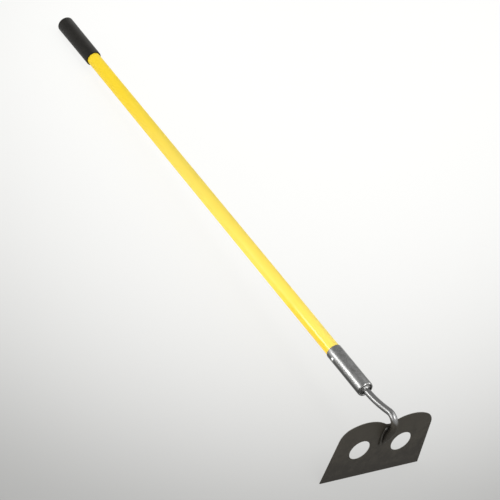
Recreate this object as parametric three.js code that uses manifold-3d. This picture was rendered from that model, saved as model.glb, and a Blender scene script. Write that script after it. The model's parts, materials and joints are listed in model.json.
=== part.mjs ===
// Cement hoe: a two-hole mixing blade on a steel swan neck, ferruled and riveted to a fibreglass handle.
// Millimetres. Pieces are laid out along the handle: +X runs down the handle towards the blade, +Z away from
// the blade's cutting edge, and the blade is square to the handle. The whole tool is then tipped to lie as it
// does on a floor, on its cutting edge and the butt of its grip.
import * as THREE from "three";
import { mergeVertices, toCreasedNormals } from "three/addons/utils/BufferGeometryUtils.js";
import Module from "manifold-3d";

const wasm = await Module();
wasm.setup();

// Driving sizes of the blade
const bladeWidth = 254;
const bladeHeight = 152.4;
const bladeThickness = 2;
const bladeEdgeChamfer = 0.35;
const bladeSideInset = 12.5;
const lobeOffsetShare = 0.46;
const lobeRadiusShare = 0.731;
const shoulderRadiusShare = 0.277;
const notchRadius = 19.8;
const holeDiameter = 49.2;
const holeSpacing = 106.6;
const holeHeight = 76.1;

// Driving sizes of the swan neck
const rodDiameter = 15;
const rodStub = 3;
const riseRadius = 274;
const riseDeg = 14.5;
const neckReach = 112.2;
const bendRadius = 23.1;
const legLeanDeg = 15.8;
const legLength = 20.4;
const taperLength = 28;
const tipDiameter = 3.4;
const tipBelowTop = 68.9;
const bedDepth = 0.5;

// Driving sizes of the handle, the ferrule and what holds them together
const handleDiameter = 32.4;
const handleWall = 4;
const handleLength = 1366.3;
const handleSeat = 10;
const corePlugLength = 115;
const ferruleLength = 121.1;
const ferruleWall = 1.3;
const ferruleEdgeRound = 0.6;
const endDiscThickness = 5;
const rivetSetback = 21.8;
const rivetDiameter = 5.5;
const rivetHeadDiameter = 9;
const rivetHeadHeight = 2.1;

// Driving sizes of the grip
const gripLength = 156.4;
const gripMouthWall = 3;
const gripButtDiameter = 40.6;
const gripEndThickness = 4;
const gripButtRound = 3.5;
const gripMouthRound = 1.2;

// Driving sizes of the welds
const bladeWeldRadius = 2.9;
const bladeWeldLift = 0.9;
const bladeWeldStartOffset = 5.3;
const bladeWeldStartRise = 17;
const bladeWeldTopOffset = 0.9;
const bladeWeldTipOffset = 3.2;
const rimWeldWidth = 4.2;
const rimWeldHeight = 2.5;
const rootWeldLeg = 4.8;
const rootWeldHeight = 6.5;

// Clearances and facet counts
const fitGap = 0.3;
const cutOverrun = 30;
const roundSides = 48;
const rodSides = 24;
const arcSteps = 6;
const fillSteps = 5;

const rodRadius = rodDiameter / 2;
const tipRadius = tipDiameter / 2;
const handleRadius = handleDiameter / 2;
const ferruleInnerRadius = handleRadius + fitGap;
const ferruleRadius = ferruleInnerRadius + ferruleWall;
const upright = Math.PI / 2;
const crossAxis = new THREE.Vector3(0, 1, 0);
const handleAxis = new THREE.Vector3(1, 0, 0);

// Solids from geometries and back again, for cuts and joins
function solidOf(geometry) {
  const bare = geometry.clone();
  bare.deleteAttribute("normal");
  bare.deleteAttribute("uv");
  const merged = mergeVertices(bare);
  return new wasm.Manifold(
    new wasm.Mesh({
      numProp: 3,
      vertProperties: new Float32Array(merged.attributes.position.array),
      triVerts: new Uint32Array(merged.index.array),
    }),
  );
}

function geometryOf(solid) {
  const mesh = solid.getMesh();
  const geometry = new THREE.BufferGeometry();
  geometry.setAttribute("position", new THREE.BufferAttribute(mesh.vertProperties, 3));
  geometry.setIndex(new THREE.BufferAttribute(mesh.triVerts, 1));
  return geometry;
}

// A round piece turned about the handle's axis, from [radius, place along the axis] corners
function turned(profile, sides = roundSides) {
  const points = profile.map(([radius, along]) => new THREE.Vector2(radius, along));
  return new THREE.LatheGeometry(points, sides).rotateZ(-upright);
}

// A quarter round between two corners of a profile, as points from one angle to another
function quarterRound(centreRadius, centreAlong, radius, from, to) {
  return Array.from({ length: fillSteps + 1 }, (_, i) => {
    const angle = THREE.MathUtils.lerp(from, to, i / fillSteps);
    return [centreRadius + radius * Math.cos(angle), centreAlong + radius * Math.sin(angle)];
  });
}

// A round bar of changing thickness along stations that lie in the plane square to the given normal
function sweptBar(stations, planeNormal, sides) {
  const positions = [];
  const indices = [];
  stations.forEach(({ at, radius }, i) => {
    const before = stations[Math.max(i - 1, 0)].at;
    const after = stations[Math.min(i + 1, stations.length - 1)].at;
    const along = after.clone().sub(before).normalize();
    const across = planeNormal.clone().cross(along);
    for (let side = 0; side < sides; side += 1) {
      const angle = (side / sides) * 2 * Math.PI;
      const corner = at.clone().addScaledVector(across, radius * Math.cos(angle));
      positions.push(...corner.addScaledVector(planeNormal, radius * Math.sin(angle)).toArray());
    }
  });
  const ring = (i, side) => i * sides + (side % sides);
  for (let i = 0; i + 1 < stations.length; i += 1) {
    for (let side = 0; side < sides; side += 1) {
      indices.push(ring(i, side), ring(i, side + 1), ring(i + 1, side + 1));
      indices.push(ring(i, side), ring(i + 1, side + 1), ring(i + 1, side));
    }
  }
  const last = stations.length - 1;
  const startHub = stations.length * sides;
  positions.push(...stations[0].at.toArray(), ...stations[last].at.toArray());
  for (let side = 0; side < sides; side += 1) {
    indices.push(startHub, ring(0, side + 1), ring(0, side));
    indices.push(startHub + 1, ring(last, side), ring(last, side + 1));
  }
  const geometry = new THREE.BufferGeometry();
  geometry.setAttribute("position", new THREE.Float32BufferAttribute(positions, 3));
  geometry.setIndex(indices);
  return geometry;
}

// A bar's rounded end as stations: the first at its full thickness, the last close to a point
function roundedEnd(at, forward, radius) {
  return Array.from({ length: fillSteps }, (_, i) => {
    const angle = (i / fillSteps) * upright;
    return {
      at: at.clone().addScaledVector(forward, radius * Math.sin(angle)),
      radius: radius * Math.cos(angle),
    };
  });
}

// The swan neck's middle line: out of the ferrule, a slow rise, the bend over the blade's back edge, and the
// leg that leans in on the blade, with its last part drawn out to a tip that is dressed flat underneath
const rise = THREE.MathUtils.degToRad(riseDeg);
const legLean = THREE.MathUtils.degToRad(legLeanDeg);
const neckLine = new THREE.Path();
const rodStart = -(endDiscThickness + rodStub);
neckLine.moveTo(rodStart, 0);
neckLine.lineTo(0, 0);
neckLine.absarc(0, riseRadius, riseRadius, -upright, rise - upright, false);
const riseEnd = neckLine.currentPoint.clone();
const bendCentreX = neckReach - bendRadius;
const bendStartX = bendCentreX - bendRadius * Math.sin(rise);
const bendStartZ = riseEnd.y + (bendStartX - riseEnd.x) * Math.tan(rise);
const bendCentreZ = bendStartZ - bendRadius * Math.cos(rise);
neckLine.absarc(bendCentreX, bendCentreZ, bendRadius, rise + upright, -legLean, true);
const bendEnd = neckLine.currentPoint.clone();
neckLine.lineTo(bendEnd.x - legLength * Math.sin(legLean), bendEnd.y - legLength * Math.cos(legLean));

const inNeckPlane = (x, z) => new THREE.Vector3(x, 0, z);
const tipForward = inNeckPlane(-Math.sin(legLean), -Math.cos(legLean));
const taperStart = inNeckPlane(neckLine.currentPoint.x, neckLine.currentPoint.y);
const tipEnd = taperStart.clone().addScaledVector(tipForward, taperLength);

function neckStations(grow) {
  const stations = neckLine.getPoints(arcSteps).map((p) => ({
    at: inNeckPlane(p.x, p.y),
    radius: rodRadius + grow,
  }));
  return [...stations, ...roundedEnd(tipEnd, tipForward, tipRadius + grow)];
}

// Where the neck puts the blade: its outer face against the dressed tip, and its top as far above the tip as
// the notch needs to clear the bend, so that a taller blade reaches further down
const bladeFaceX = tipEnd.x - tipRadius + bedDepth - fitGap;
const cuttingEdgeZ = tipEnd.z + tipBelowTop - bladeHeight;

// Blade outline, seen on the outer face from its cutting edge up, all in tangent arcs: leaning sides, a
// shoulder round into each lobe, and the notch for the swan neck between the lobes
const halfWidth = bladeWidth / 2;
const lobeRadius = lobeRadiusShare * halfWidth;
const shoulderRadius = shoulderRadiusShare * halfWidth;
const lobeCentre = new THREE.Vector2(lobeOffsetShare * halfWidth, bladeHeight - lobeRadius);
const notchHalfAngle = Math.asin(lobeCentre.x / (lobeRadius + notchRadius));
const notchCentreHeight = lobeCentre.y + (lobeRadius + notchRadius) * Math.cos(notchHalfAngle);
const sideLean = Math.atan2(bladeSideInset, bladeHeight);
const sideUp = new THREE.Vector2(-Math.sin(sideLean), Math.cos(sideLean));
const sideOut = new THREE.Vector2(Math.cos(sideLean), Math.sin(sideLean));
const sideLine = new THREE.Vector2(halfWidth, 0).addScaledVector(sideOut, -shoulderRadius);
const fromLobe = sideLine.clone().sub(lobeCentre);
const lobeAlongSide = fromLobe.dot(sideUp);
const lobeFromSide = fromLobe.dot(sideOut);
const shoulderRun = Math.sqrt((lobeRadius - shoulderRadius) ** 2 - lobeFromSide ** 2) - lobeAlongSide;
const shoulder = sideLine.clone().addScaledVector(sideUp, shoulderRun);
const blendAngle = shoulder.clone().sub(lobeCentre).angle();

function bladeOutline() {
  const lobeInner = upright + notchHalfAngle;
  const outline = new THREE.Shape();
  outline.moveTo(-halfWidth, 0);
  outline.lineTo(halfWidth, 0);
  outline.absarc(shoulder.x, shoulder.y, shoulderRadius, sideLean, blendAngle, false);
  outline.absarc(lobeCentre.x, lobeCentre.y, lobeRadius, blendAngle, lobeInner, false);
  outline.absarc(0, notchCentreHeight, notchRadius, notchHalfAngle - upright, -lobeInner, true);
  outline.absarc(-lobeCentre.x, lobeCentre.y, lobeRadius, Math.PI - lobeInner, Math.PI - blendAngle, false);
  outline.absarc(-shoulder.x, shoulder.y, shoulderRadius, Math.PI - blendAngle, Math.PI - sideLean, false);
  outline.lineTo(-halfWidth, 0);
  for (const side of [-1, 1]) {
    const hole = new THREE.Path();
    hole.absarc((side * holeSpacing) / 2, holeHeight, holeDiameter / 2, 0, 2 * Math.PI, true);
    outline.holes.push(hole);
  }
  return outline;
}

function bladePlate() {
  const plate = new THREE.ExtrudeGeometry(bladeOutline(), {
    depth: bladeThickness - 2 * bladeEdgeChamfer,
    curveSegments: roundSides / 4,
    bevelThickness: bladeEdgeChamfer,
    bevelSize: bladeEdgeChamfer,
    bevelOffset: -bladeEdgeChamfer,
    bevelSegments: 1,
  });
  const standing = new THREE.Matrix4().makeBasis(crossAxis, new THREE.Vector3(0, 0, 1), handleAxis);
  return plate.applyMatrix4(standing).translate(bladeEdgeChamfer - bladeThickness, 0, 0);
}

// What is laid on the blade is trimmed square to its face, from the cutting edge to the notch's bottom
function trimmedToBlade(solid) {
  const trimHeight = notchCentreHeight - notchRadius;
  const block = new THREE.BoxGeometry(cutOverrun, bladeWidth, trimHeight);
  block.translate(bladeFaceX + fitGap - cutOverrun / 2, 0, cuttingEdgeZ + trimHeight / 2);
  return geometryOf(solid.subtract(solidOf(block)));
}

function swanNeck() {
  return trimmedToBlade(solidOf(sweptBar(neckStations(0), crossAxis, rodSides)));
}

// Blade welds: a bead down each side of the tip, out from behind the rod into the corner by the plate
function bladeWeld(side) {
  const beadX = bladeFaceX + bladeWeldLift;
  const path = new THREE.CatmullRomCurve3(
    [
      [bladeWeldStartOffset, bladeWeldStartRise],
      [rodRadius + bladeWeldTopOffset, 0],
      [tipRadius + bladeWeldTipOffset, tipEnd.z - taperStart.z],
    ].map(([out, up]) => new THREE.Vector3(beadX, side * out, taperStart.z + up)),
  );
  const middle = path.getSpacedPoints(roundSides / 4);
  const stations = [
    ...roundedEnd(middle[0], path.getTangent(0).negate(), bladeWeldRadius).reverse(),
    ...middle.slice(1, -1).map((at) => ({ at, radius: bladeWeldRadius })),
    ...roundedEnd(middle.at(-1), path.getTangent(1), bladeWeldRadius),
  ];
  const bead = solidOf(sweptBar(stations, handleAxis, rodSides / 2));
  const rodSpace = solidOf(sweptBar(neckStations(fitGap), crossAxis, rodSides));
  return trimmedToBlade(bead.subtract(rodSpace));
}

// Ferrule: a drawn tube with its edges eased, drilled across for the rivet
const rivetX = rivetSetback - ferruleLength;
const boreRadius = rivetDiameter / 2 + fitGap;
const rivetBore = new THREE.CylinderGeometry(boreRadius, boreRadius, 2 * cutOverrun, rodSides);
const rivetBoreAcross = solidOf(rivetBore.translate(rivetX, 0, 0));

function ferruleTube() {
  const outerRound = ferruleRadius - ferruleEdgeRound;
  const tube = turned([
    [ferruleInnerRadius, -ferruleLength],
    ...quarterRound(outerRound, ferruleEdgeRound - ferruleLength, ferruleEdgeRound, -upright, 0),
    ...quarterRound(outerRound, -ferruleEdgeRound, ferruleEdgeRound, 0, upright),
    [ferruleInnerRadius, 0],
    [ferruleInnerRadius, -ferruleLength],
  ]);
  return geometryOf(solidOf(tube).subtract(rivetBoreAcross));
}

// End disc: closes the ferrule and carries the rod through its middle
function endDisc() {
  const rim = ferruleInnerRadius - fitGap;
  const bore = rodRadius + fitGap;
  return turned([
    [bore, -endDiscThickness],
    [rim, -endDiscThickness],
    [rim, 0],
    [bore, 0],
    [bore, -endDiscThickness],
  ]);
}

// Rim weld: a domed bead over the seam of ferrule and disc
function rimWeld() {
  const outer = ferruleRadius - fitGap;
  const middle = outer - rimWeldWidth / 2;
  const dome = Array.from({ length: 2 * fillSteps + 1 }, (_, i) => {
    const angle = (i / (2 * fillSteps)) * Math.PI;
    return [middle + (rimWeldWidth / 2) * Math.cos(angle), fitGap + rimWeldHeight * Math.sin(angle)];
  });
  return turned([...dome, dome[0]]);
}

// Root weld: a hollow fillet between the disc and the rod
function rootWeld() {
  const inner = rodRadius + fitGap;
  const fillet = Array.from({ length: fillSteps + 1 }, (_, i) => {
    const angle = (i / fillSteps) * upright;
    return [
      inner + rootWeldLeg * (1 - Math.sin(angle)),
      fitGap + rootWeldHeight * (1 - Math.cos(angle)),
    ];
  });
  return turned([[inner, fitGap], ...fillet.slice(0, -1), [inner, fitGap + rootWeldHeight], [inner, fitGap]]);
}

// Handle: a pultruded tube, drilled across for the rivet
const handleStart = -handleSeat;
const handleButt = handleStart - handleLength;

function handleTube() {
  const bore = handleRadius - handleWall;
  const tube = turned([
    [bore, handleButt],
    [handleRadius, handleButt],
    [handleRadius, handleStart],
    [bore, handleStart],
    [bore, handleButt],
  ]);
  return geometryOf(solidOf(tube).subtract(rivetBoreAcross));
}

// Core plug: a dowel inside the handle that keeps the rivet from crushing the tube
function corePlug() {
  const radius = handleRadius - handleWall - fitGap;
  const plug = turned([
    [0, handleStart - corePlugLength],
    [radius, handleStart - corePlugLength],
    [radius, handleStart],
    [0, handleStart],
  ]);
  return geometryOf(solidOf(plug).subtract(rivetBoreAcross));
}

// Rivet: a pin right through, with domed heads set down on the ferrule's round
function rivet() {
  const clearRadius = ferruleRadius + fitGap;
  const headRadius = rivetHeadDiameter / 2;
  const headSeat = Math.sqrt(ferruleRadius ** 2 - headRadius ** 2);
  const domeHeight = clearRadius + rivetHeadHeight - headSeat;
  const dome = quarterRound(0, 0, 1, 0, upright).map(([across, along]) => [
    headRadius * across,
    headSeat + domeHeight * along,
  ]);
  const mirrored = dome.map(([radius, along]) => [radius, -along]).reverse();
  const blank = new THREE.LatheGeometry(
    [...mirrored, ...dome].map(([radius, along]) => new THREE.Vector2(radius, along)),
    rodSides,
  );
  const ferruleSpace = new THREE.CylinderGeometry(clearRadius, clearRadius, ferruleLength, roundSides);
  const heads = solidOf(blank).subtract(solidOf(ferruleSpace.rotateZ(upright)));
  const pinRadius = rivetDiameter / 2;
  const pinLength = 2 * clearRadius + rivetHeadHeight;
  const pin = new THREE.CylinderGeometry(pinRadius, pinRadius, pinLength, rodSides);
  return geometryOf(heads.add(solidOf(pin))).translate(rivetX, 0, 0);
}

// Grip: a moulded sleeve with a closed, rounded butt that swells a little towards its end
const gripButt = handleButt - fitGap - gripEndThickness;
const gripMouth = gripButt + gripLength;

function grip() {
  const bore = handleRadius + fitGap;
  const mouthRadius = bore + gripMouthWall;
  const buttRadius = gripButtDiameter / 2;
  return turned([
    [0, gripButt],
    ...quarterRound(buttRadius - gripButtRound, gripButt + gripButtRound, gripButtRound, -upright, 0),
    ...quarterRound(mouthRadius - gripMouthRound, gripMouth - gripMouthRound, gripMouthRound, 0, upright),
    [bore, gripMouth],
    [bore, handleButt - fitGap],
    [0, handleButt - fitGap],
  ]);
}

// Finishes
function finish(color, roughness, metalness) {
  return new THREE.MeshStandardMaterial({ color, roughness, metalness });
}

const darkPlate = finish(0x3e3b36, 0.55, 0.6);
const brightSteel = finish(0x8a8a88, 0.3, 1);
const scaledSteel = finish(0x3a3937, 0.6, 0.9);
const weldMetal = finish(0x6e6d6a, 0.45, 1);
const yellowGlass = finish(0xffdc3c, 0.3, 0);
const softBlack = finish(0x2d2d2b, 0.75, 0);
const paleWood = finish(0xc9a26b, 0.8, 0);

function piece(name, geometry, material) {
  const bare = geometry.clone();
  bare.deleteAttribute("normal");
  bare.deleteAttribute("uv");
  const mesh = new THREE.Mesh(toCreasedNormals(mergeVertices(bare), Math.PI / 6), material);
  mesh.name = name;
  return mesh;
}

// Assembly
const blade = piece("blade", bladePlate(), darkPlate);
blade.position.set(bladeFaceX, 0, cuttingEdgeZ);

const neck = new THREE.Group();
neck.add(
  piece("swan_neck_shank", swanNeck(), brightSteel),
  piece("blade_weld_left", bladeWeld(-1), weldMetal),
  piece("blade_weld_right", bladeWeld(1), weldMetal),
  piece("shank_root_weld", rootWeld(), weldMetal),
  piece("ferrule_rim_weld", rimWeld(), weldMetal),
  piece("ferrule_end_disc", endDisc(), scaledSteel),
  blade,
);

const shaft = new THREE.Group();
shaft.add(
  piece("ferrule", ferruleTube(), brightSteel),
  piece("ferrule_rivet", rivet(), brightSteel),
  piece("handle_tube", handleTube(), yellowGlass),
  piece("handle_core_plug", corePlug(), paleWood),
  piece("grip_sleeve", grip(), softBlack),
);

// Lying on the floor: the tool tips until the cutting edge and the grip's butt touch the same level
const gripRoundX = gripButt + gripButtRound;
const gripRoundZ = gripButtRound - gripButtDiameter / 2;
const edgeX = bladeFaceX - bladeThickness;
const span = Math.hypot(edgeX - gripRoundX, gripRoundZ - cuttingEdgeZ);
const restTilt = Math.atan2(gripRoundZ - cuttingEdgeZ, edgeX - gripRoundX) - Math.asin(gripButtRound / span);

const cementHoe = new THREE.Group();
cementHoe.add(neck, shaft);
cementHoe.rotation.y = -restTilt;
cementHoe.updateMatrixWorld(true);
const box = new THREE.Box3().setFromObject(cementHoe, true);
const middle = box.getCenter(new THREE.Vector3());
cementHoe.position.set(-middle.x, -middle.y, -box.min.z);

export default cementHoe;
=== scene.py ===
import json
import math

import bmesh
import bpy
from mathutils import Matrix, Vector, noise


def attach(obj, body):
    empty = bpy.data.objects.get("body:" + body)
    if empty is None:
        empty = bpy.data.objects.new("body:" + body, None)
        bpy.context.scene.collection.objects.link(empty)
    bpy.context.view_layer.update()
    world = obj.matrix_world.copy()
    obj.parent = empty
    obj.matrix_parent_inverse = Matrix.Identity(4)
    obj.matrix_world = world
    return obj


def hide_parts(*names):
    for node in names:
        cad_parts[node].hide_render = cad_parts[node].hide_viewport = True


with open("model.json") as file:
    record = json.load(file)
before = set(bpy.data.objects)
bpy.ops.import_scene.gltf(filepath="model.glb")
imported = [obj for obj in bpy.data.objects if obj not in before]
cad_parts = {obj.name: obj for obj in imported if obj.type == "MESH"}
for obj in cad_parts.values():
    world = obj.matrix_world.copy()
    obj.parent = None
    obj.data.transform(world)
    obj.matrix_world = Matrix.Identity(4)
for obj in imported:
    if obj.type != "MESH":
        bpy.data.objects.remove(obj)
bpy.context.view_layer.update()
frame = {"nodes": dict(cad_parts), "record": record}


# The viewpoint: a long lens from in front and above, turned so that the handle runs from the upper left
# corner down to the blade at the lower right.
camera = bpy.data.objects.new("viewpoint", bpy.data.cameras.new("viewpoint"))
camera.location = (2.57906, -2.38735, 2.74608)
camera.rotation_euler = (0.868246, -0.311136, 1.045165)
camera.data.sensor_width = 36
camera.data.lens = 141.54
camera.data.clip_end = 100
bpy.context.scene.collection.objects.link(camera)
bpy.context.scene.camera = camera


# The floor: matt pale paper under the whole tool, white at the far end and greyer towards the front, as a
# studio floor is that is lit from behind. Its finish brings the two classes that all finishes are wired with.
class Wire:
    """A socket that can be used in sums, so that a mask reads as 1 - mask * 2."""

    def __init__(self, finish, socket):
        self.finish = finish
        self.socket = socket

    def output(self, name):
        """Another output of the same node."""
        return Wire(self.finish, self.socket.node.outputs[name])

    def __add__(self, other):
        return self.finish.maths("ADD", self, other)

    def __radd__(self, other):
        return self.finish.maths("ADD", other, self)

    def __sub__(self, other):
        return self.finish.maths("SUBTRACT", self, other)

    def __rsub__(self, other):
        return self.finish.maths("SUBTRACT", other, self)

    def __mul__(self, other):
        return self.finish.maths("MULTIPLY", self, other)

    def __rmul__(self, other):
        return self.finish.maths("MULTIPLY", other, self)

    def __truediv__(self, other):
        return self.finish.maths("DIVIDE", self, other)

    def __rtruediv__(self, other):
        return self.finish.maths("DIVIDE", other, self)

    def __pow__(self, other):
        return self.finish.maths("POWER", self, other)

    def __rpow__(self, other):
        return self.finish.maths("POWER", other, self)


class Finish:
    """A material on one Principled surface. What is the same all over sits on the surface's own sockets."""

    def __init__(self, name, all_over=None):
        self.material = bpy.data.materials.new(name)
        self.material.use_nodes = True
        self.nodes = self.material.node_tree.nodes
        self.links = self.material.node_tree.links
        self.surface = self.nodes["Principled BSDF"]
        for socket, value in (all_over or {}).items():
            self.surface.inputs[socket].default_value = value

    def add(self, kind, settings, inputs, output=0):
        """A node of one kind, with its settings first and then the values or links of its sockets."""
        node = self.nodes.new(kind)
        for name, value in settings.items():
            setattr(node, name, value)
        for name, value in inputs.items():
            self.put(node.inputs[name], value)
        return Wire(self, node.outputs[output])

    def put(self, socket, value):
        if isinstance(value, Wire):
            self.links.new(value.socket, socket)
        elif socket.type == "RGBA":
            socket.default_value = (*value, 1)
        else:
            socket.default_value = value

    def feed(self, socket, value):
        """A value that varies over the surface goes to one of the surface's sockets."""
        self.put(self.surface.inputs[socket], value)

    def maths(self, operation, *terms):
        return self.add("ShaderNodeMath", {"operation": operation}, dict(enumerate(terms)))

    def place(self, origin, turn, unit=1.0):
        """Where the surface is, measured from an origin along turned axes."""
        here = self.add("ShaderNodeTexCoord", {}, {}, "Object")
        inputs = {"Vector": here, "Location": origin, "Rotation": turn, "Scale": (unit, unit, unit)}
        return self.add("ShaderNodeMapping", {"vector_type": "TEXTURE"}, inputs)

    def stretched(self, place, stretch):
        return self.add("ShaderNodeVectorMath", {"operation": "MULTIPLY"}, {0: place, 1: stretch})

    def part(self, place, axis):
        return self.add("ShaderNodeSeparateXYZ", {}, {"Vector": place}, axis)

    def distance(self, place, spot):
        return self.add("ShaderNodeVectorMath", {"operation": "DISTANCE"}, {0: place, 1: spot}, "Value")

    def grain(self, place, scale, detail=2.0, roughness=0.5):
        inputs = {"Vector": place, "Scale": scale, "Detail": detail, "Roughness": roughness}
        return self.add("ShaderNodeTexNoise", {"noise_dimensions": "3D"}, inputs)

    def between(self, value, low, high, start=0.0, end=1.0, smooth=True):
        """From start, where the value is low, to end, where it is high."""
        settings = {"interpolation_type": "SMOOTHSTEP" if smooth else "LINEAR"}
        inputs = {"Value": value, "From Min": low, "From Max": high, "To Min": start, "To Max": end}
        return self.add("ShaderNodeMapRange", settings, inputs)

    def mixed(self, factor, first, second):
        settings = {"data_type": "RGBA", "blend_type": "MIX"}
        return self.add("ShaderNodeMix", settings, {0: factor, 6: first, 7: second}, 2)

    def relief(self, height, distance, strength):
        """Fine relief that is too small for the mesh."""
        inputs = {"Height": height, "Distance": distance, "Strength": strength}
        self.feed("Normal", self.add("ShaderNodeBump", {}, inputs))


FLOOR_HALF = 14.0
BRIGHTEST_SPOT = (-0.740, 0.879, 0.0)
SPOT_TURN = (0.0, 0.0, 0.617)
SPOT_STRETCH = (1.0, 0.646, 1.0)
FADE_RADIUS = 1.550
FADE_CURVE = 3.684
FADE_FULL = 0.6
FADE_SOFTNESS = 0.45
PAPER_WHITE = (1.0, 1.0, 0.984)
PAPER_GREY = (0.430, 0.430, 0.422)
PAPER_ALBEDO = (0.95, 0.95, 0.95)
PAPER_TOOTH = 900
OWN_GLOW = 0.88
GLOW_STRENGTH = 1.041

paper = Finish("studio_paper", {"Roughness": 0.9})
from_spot = paper.stretched(paper.place(BRIGHTEST_SPOT, SPOT_TURN), SPOT_STRETCH)
fade = (paper.distance(from_spot, (0, 0, 0)) / FADE_RADIUS) ** FADE_CURVE / FADE_FULL
fade = paper.maths("SMOOTH_MIN", fade, 1.0, FADE_SOFTNESS)
paper_tone = paper.mixed(fade, PAPER_WHITE, PAPER_GREY)
paper.feed("Base Color", paper.stretched(paper_tone, PAPER_ALBEDO))
paper.relief(paper.grain(from_spot, PAPER_TOOTH), distance=0.00005, strength=0.3)
ray = paper.add("ShaderNodeLightPath", {}, {}, "Is Camera Ray")
ray = ray + ray.output("Is Glossy Ray") + ray.output("Is Transmission Ray")
seen = paper.between(ray, 0, 1, smooth=False)
glow = paper.add("ShaderNodeEmission", {}, {"Color": paper_tone, "Strength": GLOW_STRENGTH}, "Emission")
lit = Wire(paper, paper.surface.outputs["BSDF"])
shown = paper.add("ShaderNodeMixShader", {}, {0: seen * OWN_GLOW, 1: lit, 2: glow}, "Shader")
paper.put(paper.nodes["Material Output"].inputs["Surface"], shown)

floor_mesh = bpy.data.meshes.new("studio_floor")
floor_corners = [(x * FLOOR_HALF, y * FLOOR_HALF, 0) for x, y in ((-1, -1), (1, -1), (1, 1), (-1, 1))]
floor_mesh.from_pydata(floor_corners, [], [(0, 1, 2, 3)])
floor_mesh.materials.append(paper.material)
floor = bpy.data.objects.new("studio_floor", floor_mesh)
bpy.context.scene.collection.objects.link(floor)


# The light: an even pale room, a soft box high over each end, a large one beyond the handle, and two low ones
# along the near side, whose reflection runs down the steel as one white band.
ROOM_GREY = (0.59, 0.59, 0.59)
NARROW_SPREAD = math.radians(40)
STRIP_SPREAD = math.radians(75)
OPEN_SPREAD = math.pi


def soft_box(name, size, power, location, towards, spread):
    """A rectangular lamp that faces a point."""
    lamp = bpy.data.objects.new(name, bpy.data.lights.new(name, "AREA"))
    lamp.data.shape = "RECTANGLE"
    lamp.data.size, lamp.data.size_y = size
    lamp.data.energy = power
    lamp.data.spread = spread
    lamp.location = location
    lamp.rotation_euler = (Vector(towards) - Vector(location)).to_track_quat("-Z", "Y").to_euler()
    bpy.context.scene.collection.objects.link(lamp)


soft_box(
    "strip_box",
    size=(0.85, 1.0),
    power=4.9,
    location=(-1.15, -2.35, 0.51),
    towards=(0.55, 0, 0.15),
    spread=STRIP_SPREAD,
)
soft_box(
    "window_box",
    size=(1.4, 0.74),
    power=1.7,
    location=(0.1, -2.5, 0.38),
    towards=(0.72, 0, 0.15),
    spread=NARROW_SPREAD,
)
soft_box(
    "overhead_box",
    size=(1.15, 1.15),
    power=1.8,
    location=(1.5, 0, 2.6),
    towards=(0.74, 0, 0.16),
    spread=NARROW_SPREAD,
)
soft_box(
    "grip_end_box",
    size=(0.6, 0.6),
    power=1.0,
    location=(-0.95, -0.3, 2.3),
    towards=(-0.95, -0.2, 0),
    spread=NARROW_SPREAD,
)
soft_box(
    "far_box",
    size=(2.4, 2.4),
    power=22,
    location=(0.6, 1.6, 2.3),
    towards=(0.2, 0.1, 0),
    spread=OPEN_SPREAD,
)

room = bpy.data.worlds.new("pale_room")
room.use_nodes = True
room.node_tree.nodes["Background"].inputs["Color"].default_value = (*ROOM_GREY, 1)
bpy.context.scene.world = room
bpy.context.scene.view_settings.view_transform = "Standard"


# The handle: a pultruded fibreglass tube, yellow all through under a clear gloss skin, with faint lengthwise
# streaks of fibre. Its yellow is painted paler towards the ferrule as painted light, and deeper amber
# underneath near the ferrule as painted shade. It runs from inside the grip to just short of the ferrule's
# end disc.
# Everything else is set on it, so this section also finds its axis, and turns the first profile about that.
MM = 0.001
BUTT_TO_DISC = 1380.6
HANDLE_RADIUS = 16.2
HANDLE_WALL = 4.0
HANDLE_END = -10.0
HANDLE_LENGTH = 1366.3
HANDLE_EDGE_ROUND = 0.8
HANDLE_BORE_ROUND = 0.4
HANDLE_ROUND_STEPS = 4
ON_AXIS = 1e-6
UNDER_ACROSS = -0.713
UNDER_ABOVE = -0.701
GOLDEN_YELLOW = (0.965, 0.695, 0.031)
LEMON_YELLOW = (0.92, 0.71, 0.112)
AMBER_PAINTED_SHADE = (0.93, 0.61, 0.009)
# Where a change starts and where it is complete, here and below: in millimetres, or as a way of facing.
PAINTED_LIGHT_TO_LEMON = (-1225, -700)
TO_PAINTED_SHADE_AMBER = (-420, -125)
PAINTED_SHADE_AMBER_FACING = (0.1, 0.65)
TO_GLOSSY = (-290, -150)
GLOSS_RANGE = (0.1, 0.9)

butt = next(m for m in frame["record"]["mounts"] if m["name"] == "grip_butt")
down_handle = -Vector(butt["axis"])
across = Vector((0, 1, 0))
above = down_handle.cross(across)
disc_face = Vector(butt["pos_m"]) + down_handle * BUTT_TO_DISC * MM
tool = Matrix.Translation(disc_face) @ Matrix((down_handle, across, above)).transposed().to_4x4()
tool_turn = tool.to_euler()
tool = tool @ Matrix.Scale(MM, 4)


def tool_place(finish):
    """Millimetres down the handle from the end disc, across it and above it."""
    return finish.place(tuple(disc_face), tuple(tool_turn), MM)


def under_side(finish):
    """Which way the surface faces: 1 down to the near side, -1 up to the far side."""
    facing = finish.add("ShaderNodeNewGeometry", {}, {}, "Normal")
    down = tuple(across * UNDER_ACROSS + above * UNDER_ABOVE)
    return finish.add("ShaderNodeVectorMath", {"operation": "DOT_PRODUCT"}, {0: facing, 1: down}, "Value")


def closed_mesh(name, bm):
    """The mesh of a closed form, with its faces outward."""
    bmesh.ops.recalc_face_normals(bm, faces=bm.faces)
    mesh = bpy.data.meshes.new(name)
    bm.to_mesh(mesh)
    bm.free()
    return mesh


def made_piece(name, mesh, finish, node, crease=35):
    """A mesh in millimetres along the handle becomes a piece that stands for its solid."""
    mesh.transform(tool)
    for face in mesh.polygons:
        face.use_smooth = True
    mesh.set_sharp_from_angle(angle=math.radians(crease))
    mesh.materials.append(finish.material)
    piece = bpy.data.objects.new(name, mesh)
    bpy.context.scene.collection.objects.link(piece)
    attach(piece, "root")
    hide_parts(node)


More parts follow.
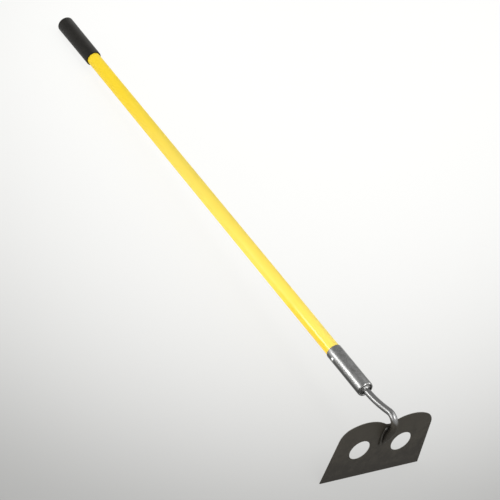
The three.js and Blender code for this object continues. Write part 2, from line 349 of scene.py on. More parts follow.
def eased(corners, steps):
    """A closed profile of (along, radius, round) corners with each corner rounded."""
    points = []
    for i, (along, radius, ease) in enumerate(corners):
        corner = Vector((along, radius))
        if not ease:
            points.append(corner)
            continue
        back = (Vector(corners[i - 1][:2]) - corner).normalized()
        ahead = (Vector(corners[(i + 1) % len(corners)][:2]) - corner).normalized()
        half = back.angle(ahead) / 2
        centre = corner + (back + ahead).normalized() * ease / math.sin(half)
        start = corner + back * ease / math.tan(half) - centre
        end = corner + ahead * ease / math.tan(half) - centre
        swing = start.angle_signed(end)
        for step in range(steps + 1):
            cosine = math.cos(-swing * step / steps)
            sine = math.sin(-swing * step / steps)
            spoke = Vector((start.x * cosine - start.y * sine, start.x * sine + start.y * cosine))
            points.append(centre + spoke)
    return points


def turned(name, profile, sides=96, closed=True, wave=None):
    """A profile of (along, radius) points turned about the handle's axis, each point moved by the wave."""
    bm = bmesh.new()
    rings = []
    for along, radius in profile:
        ring = []
        for side in range(sides if radius > ON_AXIS else 1):
            angle = 2 * math.pi * side / sides
            x, r = wave(along, radius, angle) if wave else (along, radius)
            ring.append(bm.verts.new((x, r * math.sin(angle), r * math.cos(angle))))
        rings.append(ring)
    following = rings[1:] + rings[:1] if closed else rings[1:]
    for near, far in zip(rings, following):
        for side in range(sides):
            after = (side + 1) % sides
            loop = [
                near[side % len(near)],
                near[after % len(near)],
                far[after % len(far)],
                far[side % len(far)],
            ]
            if len(set(loop)) > 2:
                bm.faces.new(dict.fromkeys(loop))
    return closed_mesh(name, bm)


fibreglass = Finish(
    "yellow_fibreglass",
    {"Roughness": 0.45, "Coat Roughness": 0.12, "Coat IOR": 1.5, "Specular IOR Level": 0.06},
)
at = tool_place(fibreglass)
run_down = fibreglass.part(at, "X")
fibres = fibreglass.grain(fibreglass.stretched(at, (0.012, 1, 1)), scale=1.3, detail=3, roughness=0.6)
clouds = fibreglass.grain(fibreglass.stretched(at, (0.25, 1, 1)), scale=0.06)
# Painted light: the yellow is painted paler towards the ferrule. The fibre streaks and clouds vary it at
# random.
fibre_paleness_and_painted_light = fibreglass.between(run_down, *PAINTED_LIGHT_TO_LEMON) * 0.85
fibre_paleness_and_painted_light = fibre_paleness_and_painted_light + (fibres * 0.6 + clouds * 0.4 - 0.5) * 0.9
yellow = fibreglass.mixed(fibreglass.between(fibre_paleness_and_painted_light, 0, 1), GOLDEN_YELLOW, LEMON_YELLOW)
# Painted shade: the underside near the ferrule is painted a deeper amber.
near_ferrule = fibreglass.between(run_down, *TO_PAINTED_SHADE_AMBER)
painted_shade_below = fibreglass.between(under_side(fibreglass), *PAINTED_SHADE_AMBER_FACING)
fibreglass.feed("Base Color", fibreglass.mixed(near_ferrule * painted_shade_below, yellow, AMBER_PAINTED_SHADE))
fibreglass.feed("Coat Weight", fibreglass.between(run_down, *TO_GLOSSY, *GLOSS_RANGE))
fibreglass.relief(fibres, distance=0.000004, strength=0.3)

handle_bore = HANDLE_RADIUS - HANDLE_WALL
far_end = HANDLE_END - HANDLE_LENGTH
handle_profile = eased(
    [
        (far_end, handle_bore, HANDLE_BORE_ROUND),
        (far_end, HANDLE_RADIUS, HANDLE_EDGE_ROUND),
        (HANDLE_END, HANDLE_RADIUS, HANDLE_EDGE_ROUND),
        (HANDLE_END, handle_bore, HANDLE_BORE_ROUND),
    ],
    HANDLE_ROUND_STEPS,
)
handle_mesh = turned("fibreglass_handle", handle_profile)
made_piece("fibreglass_handle", handle_mesh, fibreglass, "handle_tube")


# The core plug: a turned dowel glued inside the handle under the ferrule, so that the rivet can be drawn up
# tight. It is hidden, and keeps its own solid with a plain dowel finish.
DOWEL_LIGHT = (0.62, 0.40, 0.19)
DOWEL_DARK = (0.43, 0.25, 0.10)


def kept_solid(node, finish):
    """A solid that shows as it is, in a finish of its own."""
    frame["nodes"][node].data.materials.clear()
    frame["nodes"][node].data.materials.append(finish.material)


dowel = Finish("dowel_wood", {"Roughness": 0.7})
at = tool_place(dowel)
growth = dowel.grain(dowel.stretched(at, (0.03, 1, 1)), scale=0.5, detail=3, roughness=0.6)
dowel.feed("Base Color", dowel.mixed(dowel.between(growth, 0.35, 0.65), DOWEL_DARK, DOWEL_LIGHT))
dowel.relief(growth, distance=0.0002, strength=0.5)
kept_solid("handle_core_plug", dowel)


# The ferrule: a length of drawn steel tube pushed over the handle, grey from the draw bench with faint
# lengthwise lines and a few pits, its ends broken with a small round. Its underside is painted darker, a
# painted shade.
FERRULE_LENGTH = 121.1
FERRULE_RADIUS = 17.8
FERRULE_WALL = 1.3
FERRULE_EDGE_ROUND = 0.7
FERRULE_BORE_ROUND = 0.3
FERRULE_ROUND_STEPS = 4
STEEL_DULL = (0.190, 0.190, 0.186)
STEEL_CLEAN = (0.320, 0.320, 0.315)
STEEL_PAINTED_SHADE = (0.04, 0.04, 0.038)
STEEL_PIT = (0.09, 0.085, 0.08)
FERRULE_PAINTED_SHADE_FACING = (0.56, 0.84)

drawn_steel = Finish("drawn_tube_steel", {"Metallic": 1.0})
at = tool_place(drawn_steel)
draw_lines = drawn_steel.grain(drawn_steel.stretched(at, (0.02, 1, 1)), scale=2.2, detail=3, roughness=0.6)
handling = drawn_steel.grain(at, scale=0.09, detail=3)
speckle = drawn_steel.grain(at, scale=0.42, roughness=0.6)
pits = drawn_steel.between(drawn_steel.grain(at, scale=0.75, detail=1), 0.70, 0.78)
cleanness = drawn_steel.between(draw_lines * 0.25 + handling * 0.3 + speckle * 0.45, 0.38, 0.62)
steel_tone = drawn_steel.mixed(cleanness, STEEL_DULL, STEEL_CLEAN)
# Painted shade: the underside is painted towards a near black.
painted_shade_below = drawn_steel.between(under_side(drawn_steel), *FERRULE_PAINTED_SHADE_FACING)
steel_tone = drawn_steel.mixed(painted_shade_below * 0.9, steel_tone, STEEL_PAINTED_SHADE)
drawn_steel.feed("Base Color", drawn_steel.mixed(pits * 0.75, steel_tone, STEEL_PIT))
drawn_steel.feed("Roughness", 0.39 - cleanness * 0.04 + pits * 0.2)
drawn_steel.relief(draw_lines - pits * 0.8, distance=0.000005, strength=0.4)

ferrule_bore = FERRULE_RADIUS - FERRULE_WALL
ferrule_profile = eased(
    [
        (-FERRULE_LENGTH, ferrule_bore, FERRULE_BORE_ROUND),
        (-FERRULE_LENGTH, FERRULE_RADIUS, FERRULE_EDGE_ROUND),
        (0, FERRULE_RADIUS, FERRULE_EDGE_ROUND),
        (0, ferrule_bore, FERRULE_BORE_ROUND),
    ],
    FERRULE_ROUND_STEPS,
)
made_piece("ferrule_tube", turned("ferrule_tube", ferrule_profile), drawn_steel, "ferrule")


# The rivet: a bright steel pin right through ferrule, handle and dowel, closed with a low dome on each side
# that is hammered down onto the ferrule's round.
RIVET_FROM_DISC = 99.3
RIVET_RADIUS = 2.75
RIVET_HEAD_RADIUS = 4.5
RIVET_HEAD_RISE = 2.1
FIT_GAP = 0.3
SAME_PLACE = 1e-4
DOME_RINGS = 10
DOME_SIDES = 40
RIVET_DULL = (0.48, 0.48, 0.47)
RIVET_BRIGHT = (0.72, 0.72, 0.71)

rivet_steel = Finish("rivet_steel", {"Metallic": 1.0})
at = tool_place(rivet_steel)
hammering = rivet_steel.grain(at, scale=0.9, detail=3)
struck = rivet_steel.between(hammering, 0.35, 0.65)
rivet_steel.feed("Base Color", rivet_steel.mixed(struck, RIVET_DULL, RIVET_BRIGHT))
rivet_steel.feed("Roughness", 0.2 + hammering * 0.12)
rivet_steel.relief(hammering, distance=0.0002, strength=0.35)


def riveted_pin():
    """Both halves of the pin, each from the dome's top out to its rim, in under it and down to the middle."""
    bm = bmesh.new()
    clear = FERRULE_RADIUS + FIT_GAP
    for half in (-1, 1):
        rings = []
        for ring in range(DOME_RINGS + 1):
            lean = ring / DOME_RINGS * math.pi / 2
            out = RIVET_HEAD_RADIUS * math.sin(lean)
            verts = []
            for side in range(DOME_SIDES if ring else 1):
                angle = 2 * math.pi * side / DOME_SIDES
                x, z = out * math.cos(angle), out * math.sin(angle)
                y = math.sqrt(clear**2 - z**2) + RIVET_HEAD_RISE * math.cos(lean)
                verts.append(bm.verts.new((x - RIVET_FROM_DISC, half * y, z)))
            rings.append(verts)
        under = []
        middle = []
        for side in range(DOME_SIDES):
            angle = 2 * math.pi * side / DOME_SIDES
            x, z = RIVET_RADIUS * math.cos(angle), RIVET_RADIUS * math.sin(angle)
            under.append(bm.verts.new((x - RIVET_FROM_DISC, half * math.sqrt(clear**2 - z**2), z)))
            middle.append(bm.verts.new((x - RIVET_FROM_DISC, 0, z)))
        rings += [under, middle]
        for near, far in zip(rings, rings[1:]):
            for side in range(DOME_SIDES):
                after = (side + 1) % DOME_SIDES
                loop = [near[side % len(near)], near[after % len(near)], far[after], far[side]]
                bm.faces.new(dict.fromkeys(loop))
    bmesh.ops.remove_doubles(bm, verts=bm.verts, dist=SAME_PLACE)
    return closed_mesh("ferrule_rivet_pin", bm)


made_piece("ferrule_rivet_pin", riveted_pin(), rivet_steel, "ferrule_rivet")


# The end disc: a flat steel washer set flush in the ferrule's mouth, left with its dark rolled skin. The bar
# comes out through its middle. It keeps its own solid.
SKIN_DARK = (0.035, 0.034, 0.033)
SKIN_LIGHT = (0.11, 0.105, 0.10)

disc_steel = Finish("rolled_disc_steel", {"Metallic": 0.6})
skin = disc_steel.grain(tool_place(disc_steel), scale=0.35, detail=4, roughness=0.6)
disc_steel.feed("Base Color", disc_steel.mixed(skin, SKIN_DARK, SKIN_LIGHT))
disc_steel.feed("Roughness", 0.45 + skin * 0.25)
disc_steel.relief(skin, distance=0.0003, strength=0.4)
kept_solid("ferrule_end_disc", disc_steel)


# The rim weld and the root weld: two rings laid with a torch, one over the seam of ferrule and disc and one
# in the corner between disc and bar. Both show the crescents of the puddle. They are painted dark underneath
# as painted shade, and a lighter, less metallic grey towards the far side as painted light. Two crests at
# the top of the rim carry painted glints.
RIM_OUTER = 17.5
RIM_WIDTH = 4.2
RIM_HEIGHT = 2.5
RIM_SINK = 0.3
RIM_STEPS = 16
RIM_SIDES = 288
ROOT_INNER = 7.6
ROOT_LEG = 4.8
ROOT_HEIGHT = 6.5
ROOT_MIDDLE = 11.0
ROOT_SWELL = 0.1
ROOT_STEPS = 14
ROOT_SIDES = 192
RIPPLE_PITCH = 3.4
RIPPLE_DEPTH = 0.34
RIPPLE_STEEPNESS = 1.6
RIPPLE_SPREAD = 0.6
WANDER = 0.8
WANDER_PACE = 0.21
WELD_CREASE = 60
WELD_DARK = (0.12, 0.118, 0.113)
WELD_BRIGHT = (0.60, 0.60, 0.59)
WELD_PAINTED_SHADE = (0.045, 0.044, 0.042)
WELD_PAINTED_LIGHT = (0.34, 0.34, 0.33)
WELD_PAINTED_GLINT = (0.95, 0.95, 0.94)
WELD_PAINTED_SHADE_FACING = (0.0, 0.4)
PAINTED_LIGHT_TO_FAR_SIDE = (6, 12)
PAINTED_GLINT_CRESTS = ((2.0, -7.1, 15.3), (1.8, 3.9, 16.3))
PAINTED_GLINT_RADII = (3.0, 1.6)

weld_steel = Finish("bright_weld_steel")
at = tool_place(weld_steel)
puddle = weld_steel.grain(at, scale=0.35, detail=3)
# Painted shade: the welds are painted dark on their underside.
weld_painted_shade = weld_steel.between(under_side(weld_steel), *WELD_PAINTED_SHADE_FACING)
weld_tone = weld_steel.mixed(weld_steel.between(puddle, 0.35, 0.6), WELD_DARK, WELD_BRIGHT)
weld_tone = weld_steel.mixed(weld_painted_shade * 0.85, weld_tone, WELD_PAINTED_SHADE)
# Painted light: towards the far, upper side the welds are painted a lighter, less metallic grey.
to_far_side = weld_steel.part(at, "Y") * -UNDER_ACROSS + weld_steel.part(at, "Z") * -UNDER_ABOVE
painted_light_far_side = weld_steel.between(to_far_side, *PAINTED_LIGHT_TO_FAR_SIDE) * weld_steel.between(weld_painted_shade, 0.5, 0)
weld_tone = weld_steel.mixed(painted_light_far_side * 0.7, weld_tone, WELD_PAINTED_LIGHT)
# Painted highlights: two glints are painted near white on the rim's top crests.
for crest in PAINTED_GLINT_CRESTS:
    brightened = weld_steel.between(weld_steel.distance(at, crest), *PAINTED_GLINT_RADII)
    weld_tone = weld_steel.mixed(brightened, weld_tone, WELD_PAINTED_GLINT)
weld_steel.feed("Base Color", weld_tone)
weld_steel.feed("Metallic", 1 - painted_light_far_side * 0.5)
weld_steel.feed("Roughness", 0.16 + weld_steel.between(puddle, 0.62, 0.4) * 0.2)
weld_steel.relief(weld_steel.grain(at, scale=0.6), distance=0.0001, strength=0.3)

rim_middle = RIM_OUTER - RIM_WIDTH / 2


def crescents(run, offset):
    """The height of a weld's ripples at a run along the bead, steep on one side of each crest."""
    phase = (run / RIPPLE_PITCH + offset) % 1
    wander = noise.noise(Vector((run * WANDER_PACE, offset * 0.7, 3.1)))
    return RIPPLE_DEPTH * (phase**RIPPLE_STEEPNESS - 0.5 + WANDER * wander)


def rim_wave(along, radius, angle):
    side = (radius - rim_middle) / (RIM_WIDTH / 2)
    rise = max(along - FIT_GAP, 0) / RIM_HEIGHT
    ripple = crescents(angle * rim_middle, 0.5 * side * side)
    return along + rise * (ripple - RIM_SINK), min(radius + RIPPLE_SPREAD * rise * ripple, RIM_OUTER)


def root_wave(along, radius, angle):
    out = min(max(radius - ROOT_INNER, 0) / ROOT_LEG, 1)
    body = math.sin(math.pi * out) if along > FIT_GAP + 0.01 else 0
    ripple = crescents(angle * ROOT_MIDDLE, 0.6 * out)
    return along + body * (ripple + ROOT_SWELL), radius + body * ripple


rim_profile = [
    (
        FIT_GAP + RIM_HEIGHT * math.sin(math.pi * i / RIM_STEPS),
        rim_middle + RIM_WIDTH / 2 * math.cos(math.pi * i / RIM_STEPS),
    )
    for i in range(RIM_STEPS + 1)
]
rim_mesh = turned("ferrule_rim_bead", rim_profile, RIM_SIDES, wave=rim_wave)
made_piece("ferrule_rim_bead", rim_mesh, weld_steel, "ferrule_rim_weld", WELD_CREASE)

root_profile = [(FIT_GAP, ROOT_INNER)] + [
    (
        FIT_GAP + ROOT_HEIGHT * (1 - math.cos(math.pi / 2 * i / ROOT_STEPS)),
        ROOT_INNER + ROOT_LEG * (1 - math.sin(math.pi / 2 * i / ROOT_STEPS)),
    )
    for i in range(ROOT_STEPS + 1)
]
root_mesh = turned("bar_root_bead", root_profile, ROOT_SIDES, wave=root_wave)
made_piece("bar_root_bead", root_mesh, weld_steel, "shank_root_weld", WELD_CREASE)


# The swan neck: one length of bright drawn bar, bent up out of the ferrule and over the blade's notch, with
# its last part forged to a tip that lies on the plate. The blade's dark coat runs up it to the bend, lowest
# along its lit side. Its underside is painted darker as painted shade, and over the bend it is painted
# brighter as a painted highlight.
BAR_RADIUS = 7.5
BAR_START = -8.0
RISE_RADIUS = 274.0
RISE = math.radians(14.5)
REACH = 112.2
BEND_RADIUS = 23.1
LEG_LEAN = math.radians(15.8)
LEG_LENGTH = 20.4
TAPER_LENGTH = 28.0
TIP_RADIUS = 1.7
TIP_STEPS = 8
TIP_ABOVE_EDGE = 83.5
BED_DEPTH = 0.5
BED_TOP = 136
BAR_SIDES = 56
BAR_CREASE = 50
BAR_DULL = (0.187, 0.187, 0.183)
BAR_CLEAN = (0.262, 0.262, 0.258)
BAR_PAINTED_HIGHLIGHT = (0.33, 0.33, 0.33)
BAR_PAINTED_SHADE_FACING = (0.6, 0.85)
PAINTED_HIGHLIGHT_REACH = (94, 104)
COAT_DARK = (0.024, 0.0195, 0.0135)
COAT_LIGHT = (0.0515, 0.0445, 0.0325)
COAT_HEIGHT = (14.5, 4.5)
COAT_REACH = (90, 96)
LIT_FACING = -0.25


def arc_points(centre, radius, start, end, step=1.2):
    count = max(int(abs(end - start) * radius / step), 6)
    return [
        Vector((centre[0] + radius * math.cos(a), centre[1] + radius * math.sin(a)))
        for a in (start + (end - start) * i / count for i in range(count + 1))
    ]


def straight_points(start, end, step=1.6):
    count = max(int((end - start).length / step), 2)
    return [start.lerp(end, i / count) for i in range(count + 1)]


def neck_stations():
    """Points of the bar's middle line in the plane of the neck, each with the bar's radius there."""
    rising = arc_points((0, RISE_RADIUS), RISE_RADIUS, -math.pi / 2, RISE - math.pi / 2)
    bend_x = REACH - BEND_RADIUS
    bend_start_x = bend_x - BEND_RADIUS * math.sin(RISE)
    bend_start_z = rising[-1].y + (bend_start_x - rising[-1].x) * math.tan(RISE)
    bend_z = bend_start_z - BEND_RADIUS * math.cos(RISE)
    bend = arc_points((bend_x, bend_z), BEND_RADIUS, RISE + math.pi / 2, -LEG_LEAN)
    forward = Vector((-math.sin(LEG_LEAN), -math.cos(LEG_LEAN)))
    taper_start = bend[-1] + forward * LEG_LENGTH
    tip = taper_start + forward * TAPER_LENGTH
    line = straight_points(Vector((BAR_START, 0)), Vector((0, 0)))[:-1] + rising
    line += straight_points(rising[-1], bend[0])[1:-1] + bend
    line += straight_points(bend[-1], taper_start)[1:]
    stations = [(point, BAR_RADIUS) for point in line]
    for point in straight_points(taper_start, tip)[1:]:
        share = (point - taper_start).length / TAPER_LENGTH
        stations.append((point, BAR_RADIUS + (TIP_RADIUS - BAR_RADIUS) * share))
    for i in range(1, TIP_STEPS):
        angle = math.pi / 2 * i / TIP_STEPS
        stations.append((tip + forward * TIP_RADIUS * math.sin(angle), TIP_RADIUS * math.cos(angle)))
    return stations, taper_start, tip


def swept(name, centres, radii, square, sides, shape):
    """A closed bar along centres in the plane square to a direction, with each point moved by the shape."""
    bm = bmesh.new()
    rings = []
    for i, (centre, radius) in enumerate(zip(centres, radii)):
        along = (centres[min(i + 1, len(centres) - 1)] - centres[max(i - 1, 0)]).normalized()
        side_on = square.cross(along).normalized()
        ring = []
        for side in range(sides):
            angle = 2 * math.pi * side / sides
            point = centre + (side_on * math.cos(angle) + square * math.sin(angle)) * radius
            ring.append(bm.verts.new(shape(point, i, angle)))
        rings.append(ring)
    for near, far in zip(rings, rings[1:]):
        for side in range(sides):
            after = (side + 1) % sides
            bm.faces.new((near[side], near[after], far[after], far[side]))
    bm.faces.new(rings[0])
    bm.faces.new(rings[-1])
    return closed_mesh(name, bm)


stations, taper_start, tip = neck_stations()
face_x = tip.x - TIP_RADIUS + BED_DEPTH - FIT_GAP
edge_z = tip.y - TIP_ABOVE_EDGE


def bedded(point, _station, _angle):
    """Below the notch nothing goes behind the plane that the tip lies on."""
    if point.z < edge_z + BED_TOP:
        point.x = max(point.x, face_x + FIT_GAP)
    return point


coated_bar = Finish("bar_steel_and_coat")
at = tool_place(coated_bar)
height = coated_bar.part(at, "Z")
reach = coated_bar.part(at, "X")
bar_lines = coated_bar.grain(coated_bar.stretched(at, (0.05, 1, 1)), scale=1.6, detail=3)
blotches = coated_bar.grain(at, scale=0.16, detail=4, roughness=0.6)
off_lit_side = coated_bar.maths("ABSOLUTE", under_side(coated_bar) - LIT_FACING)
coat = coated_bar.between(height + blotches * 5 - off_lit_side * 6, *COAT_HEIGHT)
coat = coat * coated_bar.between(reach, *COAT_REACH)
bar_tone = coated_bar.mixed(coated_bar.between(bar_lines, 0.35, 0.65), BAR_DULL, BAR_CLEAN)
# Painted highlight: the steel is painted brighter over the bend.
lightened = coated_bar.between(reach, *PAINTED_HIGHLIGHT_REACH)
bar_tone = coated_bar.mixed(lightened * 0.7, bar_tone, BAR_PAINTED_HIGHLIGHT)
# Painted shade: the bar's underside is painted darker, as on the ferrule.
painted_shade_below = coated_bar.between(under_side(coated_bar), *BAR_PAINTED_SHADE_FACING)
bar_tone = coated_bar.mixed(painted_shade_below * 0.85, bar_tone, STEEL_PAINTED_SHADE)
coat_tone = coated_bar.mixed(blotches, COAT_DARK, COAT_LIGHT)
coated_bar.feed("Base Color", coated_bar.mixed(coat, bar_tone, coat_tone))
coated_bar.feed("Metallic", 1 - coat)
coated_bar.feed("Roughness", 0.32 + bar_lines * 0.04 + coat * 0.32)
coated_bar.relief(bar_lines * (1 - coat) * 0.04 + blotches * coat * 2, distance=0.0001, strength=0.35)

neck_mesh = swept(
    "swan_neck_bar",
    [Vector((point.x, 0, point.y)) for point, _ in stations],
    [radius for _, radius in stations],
    Vector((0, 1, 0)),
    BAR_SIDES,
    bedded,
)
made_piece("swan_neck_bar", neck_mesh, coated_bar, "swan_neck_shank", BAR_CREASE)


# The blade: one plate of steel cut to two lobes with a notch between them for the neck, and two round holes
# that let the mix through, its edges broken with a small round. It is coated dark charcoal all over and
# faintly rubbed along the cutting edge. The coat is painted lighter towards the top as painted light, and
# darker towards the cutting edge as painted shade.
BLADE_WIDTH = 254.0
BLADE_HEIGHT = 152.4
BLADE_THICKNESS = 2.0
BLADE_EDGE_ROUND = 0.35
BLADE_CREASE = 30
SIDE_INSET = 12.5
LOBE_RADIUS = 92.84
LOBE_OFFSET = 58.42
SHOULDER_RADIUS = 35.18
NOTCH_RADIUS = 19.8
HOLE_RADIUS = 24.6
HOLE_OFFSET = 53.3
HOLE_HEIGHT = 76.1
OUTLINE_STEP = 0.8
PAINTED_LIGHT_HEIGHT = (5, 130)
PAINTED_LIGHT_BY_HEIGHT = (-0.12, 0.17)
PAINTED_SHADE_EDGE_BAND = (18, 6)
RUBBED_HEIGHT = (4.2, 2.0)
RUBBED_SHARE = 0.025
RUBBED_STEEL = (0.20, 0.195, 0.185)


def blade_outline():
    """The plate seen square on, anticlockwise from its cutting edge, all in tangent arcs."""
    half = BLADE_WIDTH / 2
    lean = math.atan2(SIDE_INSET, BLADE_HEIGHT)
    up = Vector((-math.sin(lean), math.cos(lean)))
    out = Vector((math.cos(lean), math.sin(lean)))
    lobe = Vector((LOBE_OFFSET, BLADE_HEIGHT - LOBE_RADIUS))
    offset_line = Vector((half, 0)) - out * SHOULDER_RADIUS
    from_lobe = offset_line - lobe
    reach_up = math.sqrt((LOBE_RADIUS - SHOULDER_RADIUS) ** 2 - from_lobe.dot(out) ** 2)
    shoulder = offset_line + up * (reach_up - from_lobe.dot(up))
    blend = math.atan2(shoulder.y - lobe.y, shoulder.x - lobe.x)
    notch = math.asin(lobe.x / (LOBE_RADIUS + NOTCH_RADIUS))
    notch_height = lobe.y + (LOBE_RADIUS + NOTCH_RADIUS) * math.cos(notch)
    quarter = math.pi / 2
    right = arc_points(shoulder, SHOULDER_RADIUS, lean, blend, OUTLINE_STEP)
    right += arc_points(lobe, LOBE_RADIUS, blend, quarter + notch, OUTLINE_STEP)[1:]
    right += arc_points((0, notch_height), NOTCH_RADIUS, notch - quarter, -quarter, OUTLINE_STEP)[1:]
    left = [Vector((-point.x, point.y)) for point in reversed(right[:-1])]
    return [Vector((half, 0))] + right + left + [Vector((-half, 0))]


def blade_plate():
    """The outline and the holes as one filled drawing, given its thickness and stood up in its place."""
    drawing = bpy.data.curves.new("hoe_plate", "CURVE")
    drawing.dimensions = "2D"
    drawing.fill_mode = "BOTH"
    drawing.extrude = BLADE_THICKNESS / 2 - BLADE_EDGE_ROUND
    drawing.bevel_depth = BLADE_EDGE_ROUND
    drawing.bevel_resolution = 2
    drawing.offset = -BLADE_EDGE_ROUND
    holes = [
        arc_points((side * HOLE_OFFSET, HOLE_HEIGHT), HOLE_RADIUS, 0, 2 * math.pi, OUTLINE_STEP)[:-1]
        for side in (-1, 1)
    ]
    for loop in (blade_outline(), *holes):
        spline = drawing.splines.new("POLY")
        spline.points.add(len(loop) - 1)
        for knot, point in zip(spline.points, loop):
            knot.co = (*point, 0, 1)
        spline.use_cyclic_u = True
    drawn = bpy.data.objects.new("hoe_plate", drawing)
    bpy.context.scene.collection.objects.link(drawn)
    bpy.context.view_layer.update()
    mesh = bpy.data.meshes.new_from_object(drawn.evaluated_get(bpy.context.evaluated_depsgraph_get()))
    bpy.data.objects.remove(drawn)
    bpy.data.curves.remove(drawing)
    mesh.materials.clear()
    standing = (
        (0, 0, 1, face_x - BLADE_THICKNESS / 2),
        (1, 0, 0, 0),
        (0, 1, 0, edge_z),
        (0, 0, 0, 1),
    )
    mesh.transform(Matrix(standing))
    return mesh


plate_coat = Finish("charcoal_plate_coat", {"Specular IOR Level": 0.4})
at = tool_place(plate_coat)
above_edge = plate_coat.part(at, "Z") - edge_z
mottle = plate_coat.grain(at, scale=0.05, detail=5, roughness=0.62)
fine_mottle = plate_coat.grain(at, scale=0.7, detail=3, roughness=0.6)
mottle_and_painted_light = mottle * 0.6 + fine_mottle * 0.4
# Painted light and shade: the coat is painted lighter towards the top and darker along the cutting edge.
mottle_and_painted_light = mottle_and_painted_light + plate_coat.between(above_edge, *PAINTED_LIGHT_HEIGHT, *PAINTED_LIGHT_BY_HEIGHT, smooth=False)
mottle_and_painted_light = mottle_and_painted_light - plate_coat.between(above_edge, *PAINTED_SHADE_EDGE_BAND) * 0.14
plate_tone = plate_coat.mixed(plate_coat.between(mottle_and_painted_light, 0.34, 0.66), COAT_DARK, COAT_LIGHT)
scuffs = plate_coat.grain(plate_coat.stretched(at, (1, 0.16, 1)), scale=0.5, detail=4, roughness=0.7)
lightened = plate_coat.between(above_edge + scuffs * 5, *RUBBED_HEIGHT)
lightened = lightened * plate_coat.between(scuffs, 0.35, 0.6)
plate_coat.feed("Base Color", plate_coat.mixed(lightened * RUBBED_SHARE, plate_tone, RUBBED_STEEL))
plate_coat.feed("Metallic", lightened * RUBBED_SHARE)
plate_coat.feed("Roughness", 0.5 + fine_mottle * 0.16 - lightened * 0.06)
plate_coat.relief(fine_mottle + mottle * 3, distance=0.00018, strength=0.35)

made_piece("hoe_plate", blade_plate(), plate_coat, "blade", BLADE_CREASE)


# The blade welds: a bead down each side of the tip. Each starts on the plate behind the bar, comes out into
# the corner beside it and ends at the tip. Both are coated over with the blade, and the coat has come off in
# a few small spots. A glint is painted at the left one's start, a painted highlight.
BEAD_RADIUS = 2.9
BEAD_LIFT = 0.9
BEAD_START = (5.3, 17.0)
BEAD_SHOULDER = (8.4, 0.0)
BEAD_TOE = (4.9, -26.94)
BEAD_LINE_STEPS = 60
BEAD_STATIONS = 110
BEAD_SIDES = 28
BEAD_CUT_OFF = 0.02
BEAD_SINK = 0.1
BEAD_LEAST_RADIUS = 0.1
BEAD_BARE_AND_GLINT = (0.5, 0.5, 0.48)
PAINTED_GLINT_SPOT = (2.4, -6.0, 16.6)
PAINTED_GLINT_SPOT_RADII = (2.8, 1.4)

coated_weld = Finish("coated_weld_steel")
at = tool_place(coated_weld)
spots = coated_weld.grain(at, scale=0.4, detail=3, roughness=0.6)
# Painted highlight: a glint is painted at the left bead's start. The noise adds small real bare spots.
painted_glint_spot = (face_x + PAINTED_GLINT_SPOT[0], PAINTED_GLINT_SPOT[1], taper_start.y + PAINTED_GLINT_SPOT[2])
brightened = coated_weld.between(coated_weld.distance(at, painted_glint_spot), *PAINTED_GLINT_SPOT_RADII) * 0.7
brightened = coated_weld.between(spots, 0.62, 0.7) + brightened
bead_tone = coated_weld.mixed(spots, COAT_DARK, COAT_LIGHT)
coated_weld.feed("Base Color", coated_weld.mixed(brightened, bead_tone, BEAD_BARE_AND_GLINT))
coated_weld.feed("Metallic", brightened)
coated_weld.feed("Roughness", 0.42 - brightened * 0.15)
coated_weld.relief(coated_weld.grain(at, scale=1.5, detail=3), distance=0.0002, strength=0.4)


def bead_line(side):
    """A smooth line on the plate through the bead's start, shoulder and toe."""
    places = (BEAD_START, BEAD_SHOULDER, BEAD_TOE)
    start, shoulder, toe = [Vector((side * out, taper_start.y + up)) for out, up in places]
    turn = (toe - start) / 2
    upper = (start, shoulder, shoulder - start, turn)
    lower = (shoulder, toe, turn, toe - shoulder)
    line = []
    for a, b, from_a, into_b in (upper, lower):
        for i in range(BEAD_LINE_STEPS):
            t = i / BEAD_LINE_STEPS
            line.append(
                a * (2 * t**3 - 3 * t**2 + 1)
                + from_a * (t**3 - 2 * t**2 + t)
                + b * (3 * t**2 - 2 * t**3)
                + into_b * (t**3 - t**2)
            )
    return line + [toe]


def plate_bead(name, side):
    """A bead along its line, round at both ends, flat on the plate and rippled like the rings."""
    line = bead_line(side)
    runs = [0.0]
    for near, far in zip(line, line[1:]):
        runs.append(runs[-1] + (far - near).length)
    centres = []
    radii = []
    lengths = []
    for i in range(BEAD_STATIONS + 1):
        share = BEAD_CUT_OFF + (1 - 2 * BEAD_CUT_OFF) * i / BEAD_STATIONS
        run = (runs[-1] + 2 * BEAD_RADIUS) * (0.5 - 0.5 * math.cos(math.pi * share)) - BEAD_RADIUS
        inside = min(max(run, 0), runs[-1])
        past = run - inside
        k = max(j for j in range(len(runs) - 1) if runs[j] <= inside)
        near, far = line[k], line[k + 1]
        point = near.lerp(far, (inside - runs[k]) / (runs[k + 1] - runs[k]))
        point = point + (far - near).normalized() * past
        centres.append(Vector((face_x + BEAD_LIFT, point.x, point.y)))
        radii.append(math.sqrt(max(BEAD_RADIUS**2 - past**2, BEAD_LEAST_RADIUS**2)))
        lengths.append(run)

    def rippled(point, station, angle):
        ripple = crescents(lengths[station], 0.35 * math.cos(2 * angle) + 0.3 * side)
        middle = centres[station]
        point = middle + (point - middle) * (1 + (ripple - BEAD_SINK) / BEAD_RADIUS)
        point.x = max(point.x, face_x + FIT_GAP)
        return point

    return swept(name, centres, radii, Vector((1, 0, 0)), BEAD_SIDES, rippled)


for word, side in (("left", -1), ("right", 1)):
    bead = plate_bead(f"plate_bead_{word}", side)
    made_piece(f"plate_bead_{word}", bead, coated_weld, f"blade_weld_{word}", WELD_CREASE)
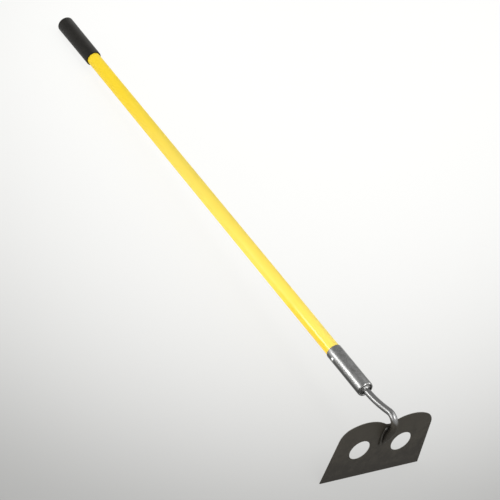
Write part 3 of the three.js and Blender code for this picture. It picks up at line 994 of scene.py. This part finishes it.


# The grip: a moulded black rubber sleeve driven over the handle's end, closed and rounded at the butt, a
# little thicker there than at its mouth, with a fine leathery stipple all over. Along its top it is painted a
# lighter grey, a painted light.
GRIP_LENGTH = 156.4
GRIP_END_WALL = 4.0
GRIP_BUTT_RADIUS = 20.3
GRIP_MOUTH_RADIUS = 19.5
GRIP_BUTT_ROUND = 3.5
GRIP_MOUTH_ROUND = 1.2
GRIP_BORE_ROUND = 0.5
GRIP_ROUND_STEPS = 8
RUBBER_DARK = (0.0068, 0.0064, 0.0054)
RUBBER_LIGHT = (0.0198, 0.0186, 0.0158)
RUBBER_PAINTED_LIGHT = (0.052, 0.050, 0.046)
PAINTED_LIGHT_FACING = (-0.2, -0.9)

rubber = Finish(
    "stippled_rubber",
    {"Specular IOR Level": 0.12, "Sheen Weight": 0.27, "Sheen Roughness": 0.35},
)
at = tool_place(rubber)
cells = {"Vector": at, "Scale": 0.62, "Smoothness": 0.6}
stipple = rubber.add("ShaderNodeTexVoronoi", {"feature": "SMOOTH_F1"}, cells)
dust = rubber.grain(at, scale=0.08, detail=3)
bloom = rubber.between(stipple * 0.7 + dust * 0.5, 0.2, 0.8)
rubber_tone = rubber.mixed(bloom, RUBBER_DARK, RUBBER_LIGHT)
# Painted light: the top of the grip is painted a lighter grey.
painted_light_on_top = rubber.between(under_side(rubber), *PAINTED_LIGHT_FACING) * (0.3 + dust * 0.8)
rubber.feed("Base Color", rubber.mixed(painted_light_on_top, rubber_tone, RUBBER_PAINTED_LIGHT))
rubber.feed("Roughness", 0.52 + dust * 0.2)
rubber.relief(1 - stipple, distance=0.0005, strength=0.5)

grip_butt = -BUTT_TO_DISC
grip_bore = HANDLE_RADIUS + FIT_GAP
grip_profile = eased(
    [
        (grip_butt, GRIP_BUTT_RADIUS, GRIP_BUTT_ROUND),
        (grip_butt + GRIP_LENGTH, GRIP_MOUTH_RADIUS, GRIP_MOUTH_ROUND),
        (grip_butt + GRIP_LENGTH, grip_bore, GRIP_BORE_ROUND),
        (grip_butt + GRIP_END_WALL, grip_bore, 0),
        (grip_butt, 0, 0),
    ],
    GRIP_ROUND_STEPS,
)
grip_profile = [grip_profile[-1]] + grip_profile[:-1] + [Vector((grip_butt + GRIP_END_WALL, 0))]
grip_mesh = turned("rubber_grip", grip_profile, closed=False)
made_piece("rubber_grip", grip_mesh, rubber, "grip_sleeve")
